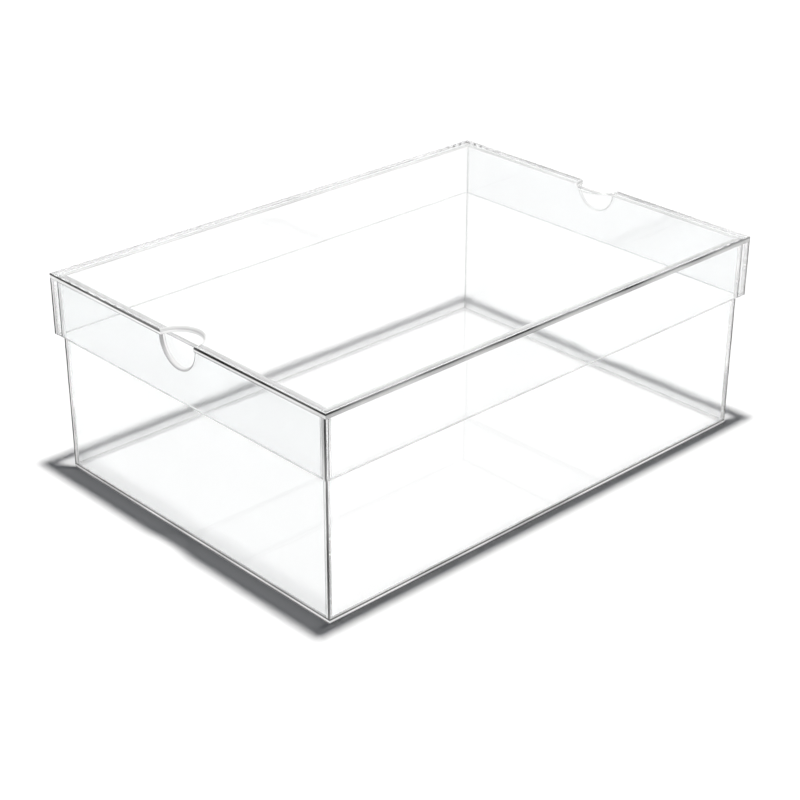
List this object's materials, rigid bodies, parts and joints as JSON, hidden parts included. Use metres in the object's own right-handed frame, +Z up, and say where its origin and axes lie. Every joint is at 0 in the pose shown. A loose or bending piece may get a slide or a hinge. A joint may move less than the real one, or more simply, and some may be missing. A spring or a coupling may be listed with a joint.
{
  "type": "shoe box",
  "caption": "Clear rectangular shoe box with an open-topped base and a lift-off lid whose skirts slide down over the walls, with a finger notch at each short end.",
  "frame": {"origin": "centre of the footprint, on the plane the box stands on", "axes": "+X along the long side, +Y towards the back, +Z up towards the lid"},
  "size_m": [0.343, 0.242, 0.128],
  "materials": {
    "clear_floor": "clear acrylic sheet, polished faces and edges",
    "clear_base_wall": "clear acrylic sheet, polished faces and edges",
    "clear_top": "clear acrylic sheet, polished faces and edges",
    "clear_lid_skirt": "clear acrylic sheet, polished faces and edges"
  },
  "bodies": {
    "base": {"base_floor_panel": "clear_floor", "base_front_wall": "clear_base_wall", "base_back_wall": "clear_base_wall", "base_left_end_wall": "clear_base_wall", "base_right_end_wall": "clear_base_wall"},
    "lid": {"lid_top_panel": "clear_top", "lid_front_skirt": "clear_lid_skirt", "lid_back_skirt": "clear_lid_skirt", "lid_left_end_skirt": "clear_lid_skirt", "lid_right_end_skirt": "clear_lid_skirt"}
  },
  "joints": [
    {"name": "lid_lift", "type": "slide", "parent": "base", "child": "lid", "axis": [0, 0, 1], "range_m": [0, 0.1]}
  ]
}
